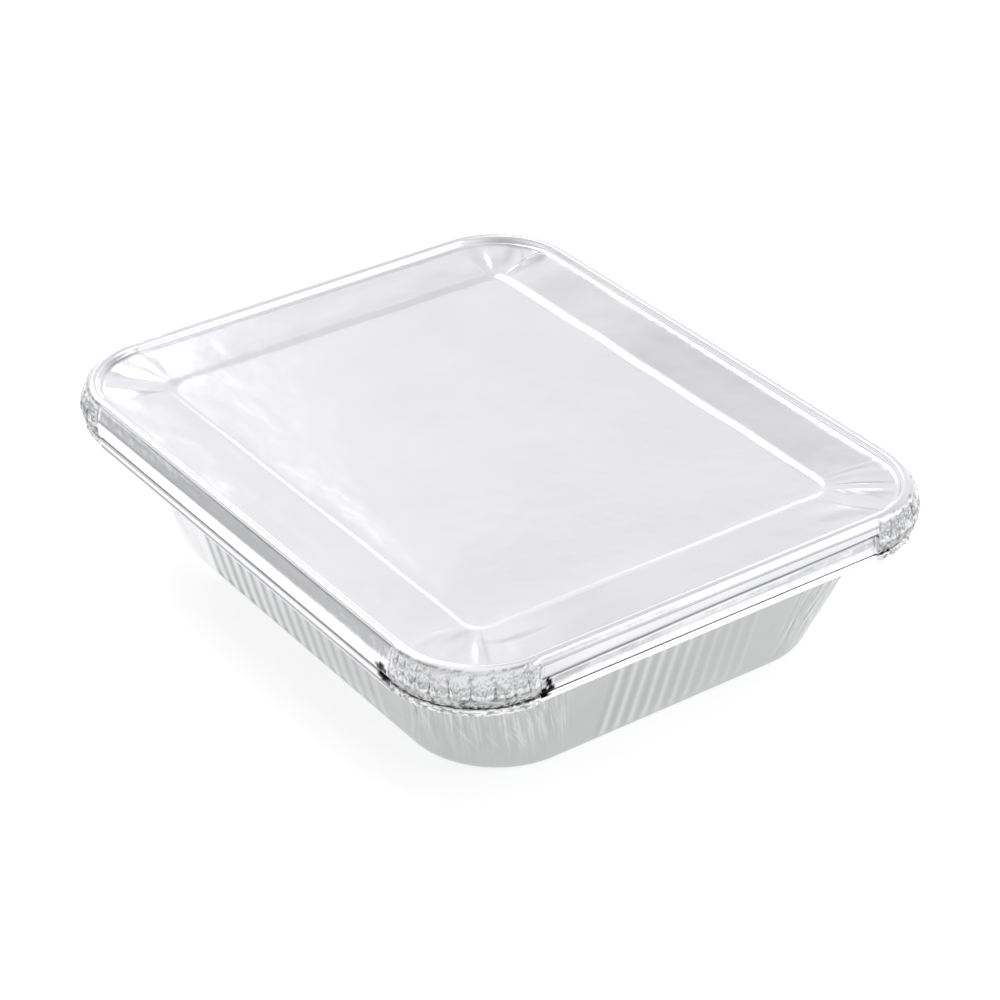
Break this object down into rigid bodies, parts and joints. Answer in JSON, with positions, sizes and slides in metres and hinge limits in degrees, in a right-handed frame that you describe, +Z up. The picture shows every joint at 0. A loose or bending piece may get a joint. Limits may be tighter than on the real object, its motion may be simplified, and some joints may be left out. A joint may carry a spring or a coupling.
{
  "type": "foil food container",
  "caption": "Rectangular aluminium foil food tray with fluted sloping walls and a rolled hem, closed by a foil lid with a sunk panel and crimped corners.",
  "frame": {"origin": "middle of the tray's floor, on the surface that it stands on", "axes": "+X along the length, +Y across the width, +Z up through the lid"},
  "size_m": [0.3294, 0.2697, 0.0816],
  "materials": {
    "tray_foil": "satin rolled foil",
    "lid_foil": "bright rolled foil"
  },
  "bodies": {
    "root": {"tray": "tray_foil", "lid": "lid_foil"}
  },
  "joints": []
}
